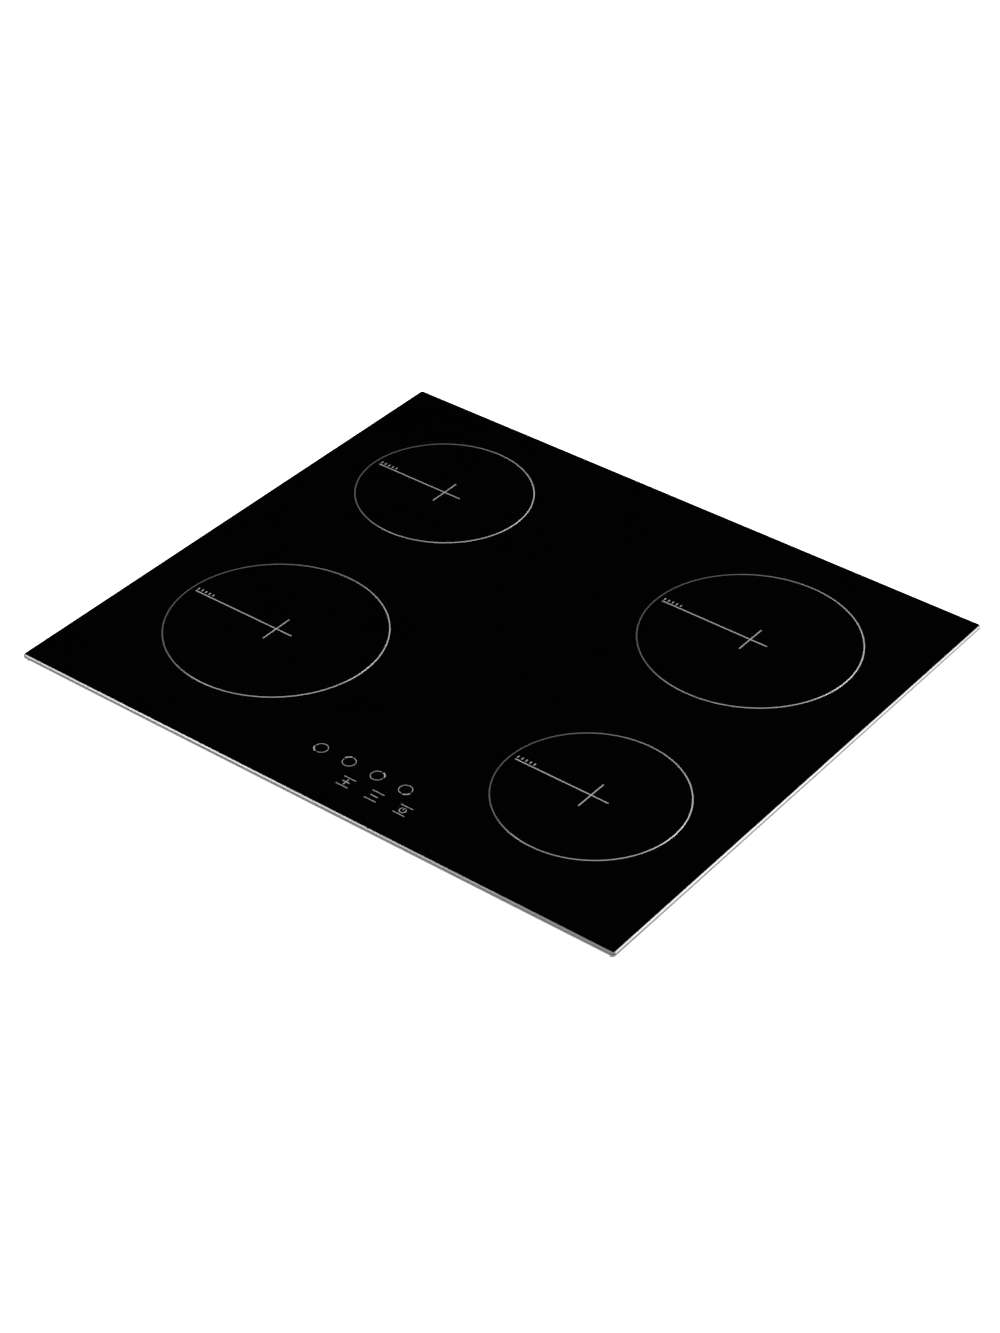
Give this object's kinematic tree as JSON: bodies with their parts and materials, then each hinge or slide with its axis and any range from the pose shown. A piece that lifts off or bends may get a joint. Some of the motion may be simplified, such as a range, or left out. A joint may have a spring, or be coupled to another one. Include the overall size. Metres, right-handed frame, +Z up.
{
  "type": "built-in induction hob",
  "caption": "Flat black glass plate with printed cooking zones and touch keys, over a shallow stepped steel case that drops into a worktop cut-out and heats pans by induction.",
  "frame": {"origin": "centre of the worktop plane that the seal rests on", "axes": "+X along the front edge to the right of a person cooking, +Y to the back, +Z up"},
  "size_m": [0.59, 0.52, 0.052],
  "materials": {
    "black_glass": "polished black glass-ceramic with ground edges",
    "enamel_print": "silvery grey screen-printed enamel",
    "seal_foam": "closed-cell foam",
    "touch_foam": "carbon-loaded foam",
    "silicone_bead": "cured silicone",
    "zinc_steel": "galvanised sheet steel, satin",
    "screw_steel": "zinc-plated",
    "aluminium_sheet": "rolled",
    "aluminium_extrusion": "extruded",
    "circuit_board": "solder-masked laminate",
    "copper_winding": "lacquered copper",
    "ferrite": "sintered",
    "mica_sheet": "pressed mica",
    "sensor_silicone": "moulded silicone",
    "spring_steel": "bright spring steel",
    "nylon": "moulded nylon",
    "black_plastic": "moulded, fine grain",
    "fan_plastic": "moulded",
    "grey_plastic": "moulded, fine grain",
    "capacitor_plastic": "resin-filled box",
    "display_plastic": "moulded",
    "grommet_rubber": "moulded rubber",
    "grey_wire": "flat cable",
    "litz_sleeve": "woven glass sleeve",
    "wire_plastic": "extruded"
  },
  "bodies": {
    "hob": {"board_chokes": "copper_winding", "board_posts": "nylon", "coil_leads": "litz_sleeve", "coil_springs_front_left": "spring_steel", "coil_springs_front_right": "spring_steel", "coil_springs_rear_left": "spring_steel", "coil_springs_rear_right": "spring_steel", "coil_tray": "aluminium_sheet", "control_board": "circuit_board", "control_carrier": "black_plastic", "fan_housing_left": "black_plastic", "fan_housing_right": "black_plastic", "film_capacitors": "capacitor_plastic", "filter_board": "circuit_board", "filter_choke": "copper_winding", "glass_adhesive": "silicone_bead", "glass_top": "black_glass", "heat_sink_left": "aluminium_extrusion", "heat_sink_right": "aluminium_extrusion", "inlet_grommet": "grommet_rubber", "level_displays": "display_plastic", "lower_case": "zinc_steel", "mains_wires": "wire_plastic", "mounting_frame": "zinc_steel", "power_board_left": "circuit_board", "power_board_right": "circuit_board", "power_transistors": "black_plastic", "ribbon_cable": "grey_wire", "sheet_screws": "screw_steel", "surface_print": "enamel_print", "terminal_block": "nylon", "touch_pads": "touch_foam", "worktop_seal": "seal_foam"},
    "coil_front_left": {"coil_base_plate_front_left": "aluminium_sheet", "coil_winding_front_left": "copper_winding", "ferrite_bars_front_left": "ferrite", "insulation_sheet_front_left": "mica_sheet", "zone_sensor_front_left": "sensor_silicone"},
    "coil_front_right": {"coil_base_plate_front_right": "aluminium_sheet", "coil_winding_front_right": "copper_winding", "ferrite_bars_front_right": "ferrite", "insulation_sheet_front_right": "mica_sheet", "zone_sensor_front_right": "sensor_silicone"},
    "coil_rear_left": {"coil_base_plate_rear_left": "aluminium_sheet", "coil_winding_rear_left": "copper_winding", "ferrite_bars_rear_left": "ferrite", "insulation_sheet_rear_left": "mica_sheet", "zone_sensor_rear_left": "sensor_silicone"},
    "coil_rear_right": {"coil_base_plate_rear_right": "aluminium_sheet", "coil_winding_rear_right": "copper_winding", "ferrite_bars_rear_right": "ferrite", "insulation_sheet_rear_right": "mica_sheet", "zone_sensor_rear_right": "sensor_silicone"},
    "fan_rotor_left": {"fan_rotor_left": "fan_plastic"},
    "fan_rotor_right": {"fan_rotor_right": "fan_plastic"},
    "spring_clip_front_left": {"spring_clip_front_left": "spring_steel"},
    "spring_clip_front_right": {"spring_clip_front_right": "spring_steel"},
    "spring_clip_rear_left": {"spring_clip_rear_left": "spring_steel"},
    "spring_clip_rear_right": {"spring_clip_rear_right": "spring_steel"},
    "terminal_lid": {"terminal_cover": "grey_plastic"}
  },
  "joints": [
    {"name": "fan_spin_left", "type": "hinge", "parent": "hob", "child": "fan_rotor_left", "pos_m": [-0.191, 0.172, -0.0317], "axis": [0, 0, 1], "continuous": true},
    {"name": "fan_spin_right", "type": "hinge", "parent": "hob", "child": "fan_rotor_right", "pos_m": [0.191, 0.172, -0.0317], "axis": [0, 0, 1], "continuous": true},
    {"name": "terminal_cover_hinge", "type": "hinge", "parent": "hob", "child": "terminal_lid", "pos_m": [0, 0.235, -0.042], "axis": [-1, 0, 0], "range_deg": [0, 90]},
    {"name": "spring_clip_front_left_flex", "type": "hinge", "parent": "hob", "child": "spring_clip_front_left", "pos_m": [-0.2746, -0.0642, -0.0073], "axis": [0, 0, 1], "range_deg": [0, 5], "stiffness_Nm_per_rad": 2},
    {"name": "spring_clip_rear_left_flex", "type": "hinge", "parent": "hob", "child": "spring_clip_rear_left", "pos_m": [-0.2746, 0.0642, -0.0073], "axis": [0, 0, -1], "range_deg": [0, 5], "stiffness_Nm_per_rad": 2},
    {"name": "spring_clip_front_right_flex", "type": "hinge", "parent": "hob", "child": "spring_clip_front_right", "pos_m": [0.2746, -0.0642, -0.0073], "axis": [0, 0, -1], "range_deg": [0, 5], "stiffness_Nm_per_rad": 2},
    {"name": "spring_clip_rear_right_flex", "type": "hinge", "parent": "hob", "child": "spring_clip_rear_right", "pos_m": [0.2746, 0.0642, -0.0073], "axis": [0, 0, 1], "range_deg": [0, 5], "stiffness_Nm_per_rad": 2},
    {"name": "coil_float_front_left", "type": "slide", "parent": "hob", "child": "coil_front_left", "axis": [0, 0, 1], "range_m": [-0.0025, 0], "stiffness_N_per_m": 6000, "springref_m": 0.003, "deforming": ["coil_springs_front_left"]},
    {"name": "coil_float_rear_left", "type": "slide", "parent": "hob", "child": "coil_rear_left", "axis": [0, 0, 1], "range_m": [-0.0025, 0], "stiffness_N_per_m": 6000, "springref_m": 0.003, "deforming": ["coil_springs_rear_left"]},
    {"name": "coil_float_rear_right", "type": "slide", "parent": "hob", "child": "coil_rear_right", "axis": [0, 0, 1], "range_m": [-0.0025, 0], "stiffness_N_per_m": 6000, "springref_m": 0.003, "deforming": ["coil_springs_rear_right"]},
    {"name": "coil_float_front_right", "type": "slide", "parent": "hob", "child": "coil_front_right", "axis": [0, 0, 1], "range_m": [-0.0025, 0], "stiffness_N_per_m": 6000, "springref_m": 0.003, "deforming": ["coil_springs_front_right"]}
  ]
}
